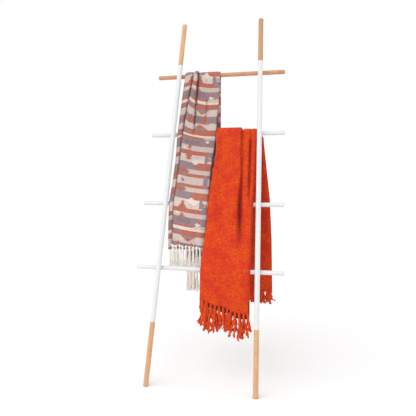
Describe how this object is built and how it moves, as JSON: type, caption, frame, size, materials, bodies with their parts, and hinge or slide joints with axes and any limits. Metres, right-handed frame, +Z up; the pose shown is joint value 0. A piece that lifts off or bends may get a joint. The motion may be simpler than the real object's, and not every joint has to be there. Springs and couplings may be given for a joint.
{
  "type": "leaning ladder rack with throws",
  "caption": "Leaning ladder rack of round poles in wood and white tube, with overhanging rungs, a patterned woven throw and a plain orange wool throw hung over them",
  "frame": {"origin": "on the floor, in the middle of the whole object's width and depth", "axes": "+Z up, +Y towards the wall that the ladder leans on, +X to the right along the rungs, seen from the front"},
  "size_m": [0.7444, 0.5004, 1.8319],
  "materials": {
    "pole_wood": "clear matt lacquer on pale hardwood",
    "rung_wood": "clear satin lacquer on redder hardwood",
    "white_paint": "satin white powder coat on steel tube",
    "white_plastic": "fine-grained moulding",
    "dark_plastic": "moulded",
    "grey_rubber": "soft matt",
    "zinc_steel": "zinc plated",
    "insert_brass": "turned",
    "patterned_weave": "soft jacquard weave in cream, terracotta and grey-mauve",
    "cream_yarn": "knotted cotton yarn",
    "orange_wool": "nubby brushed wool"
  },
  "bodies": {
    "ladder": {"left_top_pole": "pole_wood", "right_top_pole": "pole_wood", "left_white_tube": "white_paint", "right_white_tube": "white_paint", "left_bottom_pole": "pole_wood", "right_bottom_pole": "pole_wood", "left_foot_pad": "grey_rubber", "right_foot_pad": "grey_rubber", "left_wall_pad": "grey_rubber", "right_wall_pad": "grey_rubber", "tube_plugs": "dark_plastic", "joining_studs": "zinc_steel", "top_rung": "rung_wood", "second_rung": "white_paint", "third_rung": "white_paint", "bottom_rung": "white_paint", "rung_end_caps": "white_plastic", "rung_saddles": "white_plastic", "rung_bolts": "zinc_steel", "curved_washers": "zinc_steel", "threaded_inserts": "insert_brass"},
    "patterned_throw": {"patterned_throw_front": "patterned_weave", "patterned_throw_fold": "patterned_weave", "patterned_throw_back": "patterned_weave", "patterned_front_fringe": "cream_yarn", "patterned_back_fringe": "cream_yarn"},
    "orange_throw": {"orange_throw_front": "orange_wool", "orange_throw_fold": "orange_wool", "orange_throw_back": "orange_wool", "orange_throw_corner": "orange_wool", "orange_front_fringe": "orange_wool", "orange_back_fringe": "orange_wool"}
  },
  "joints": [
    {"name": "patterned_throw_lift", "type": "slide", "parent": "ladder", "child": "patterned_throw", "axis": [0, 0, 1], "range_m": [0, 1.2]},
    {"name": "orange_throw_lift", "type": "slide", "parent": "ladder", "child": "orange_throw", "axis": [0, 0, 1], "range_m": [0, 1.2], "deforming": ["orange_throw_corner", "orange_back_fringe"]}
  ]
}
